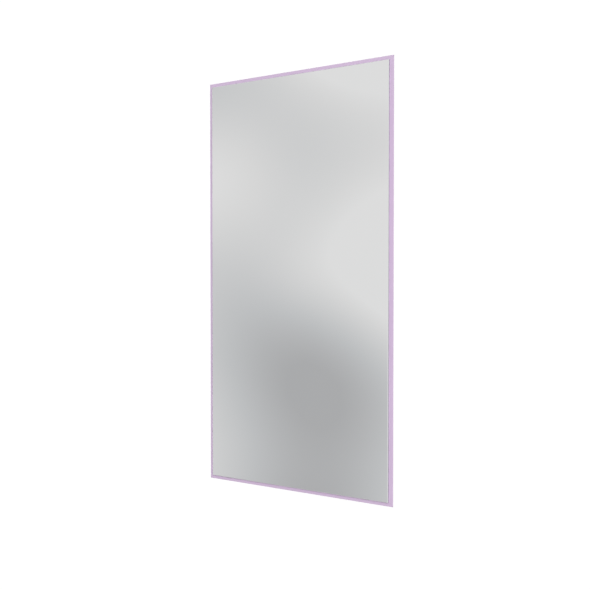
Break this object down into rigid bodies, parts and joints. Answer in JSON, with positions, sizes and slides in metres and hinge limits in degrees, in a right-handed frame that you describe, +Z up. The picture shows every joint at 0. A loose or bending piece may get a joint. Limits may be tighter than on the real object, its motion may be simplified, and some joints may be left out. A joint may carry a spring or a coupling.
{
  "type": "wall mirror",
  "caption": "Tall rectangular wall mirror: an arrised glass plate standing proud of a slim flat lilac metal frame, hung from a wall rail that it lifts off.",
  "frame": {"origin": "middle of the wall rail's two screw holes, on the wall plane", "axes": "+X to the viewer's right along the rail, +Y into the wall, so the mirror faces -Y, +Z up along the tall side"},
  "size_m": [0.6, 0.0255, 1.2],
  "materials": {
    "frame_coating": "satin",
    "mirror": "polished",
    "grey_film": "satin",
    "bonding_foam": "matte",
    "hardboard": "matte",
    "zinc_steel": "satin",
    "dark_steel": "satin",
    "mill_aluminium": "satin",
    "rubber": "matte"
  },
  "bodies": {
    "wall_bracket": {"wall_rail": "mill_aluminium"},
    "mirror": {"backing_board": "hardboard", "backing_board_screws": "zinc_steel", "board_tape_strips": "bonding_foam", "corner_grub_screws": "dark_steel", "corner_key_bottom_left": "zinc_steel", "corner_key_bottom_right": "zinc_steel", "corner_key_top_left": "zinc_steel", "corner_key_top_right": "zinc_steel", "corner_plate_bottom_left": "zinc_steel", "corner_plate_bottom_right": "zinc_steel", "corner_plate_top_left": "zinc_steel", "corner_plate_top_right": "zinc_steel", "foam_tape_bottom": "bonding_foam", "foam_tape_left": "bonding_foam", "foam_tape_right": "bonding_foam", "foam_tape_top": "bonding_foam", "frame_rail_bottom": "frame_coating", "frame_rail_left": "frame_coating", "frame_rail_right": "frame_coating", "frame_rail_top": "frame_coating", "mirror_glass": "mirror", "safety_film": "grey_film", "wall_pad_bottom_left": "rubber", "wall_pad_bottom_right": "rubber", "wall_pad_top_left": "rubber", "wall_pad_top_right": "rubber"}
  },
  "joints": [
    {"name": "mirror_lift", "type": "slide", "parent": "wall_bracket", "child": "mirror", "axis": [0, 0, 1], "range_m": [0, 0.012]}
  ]
}
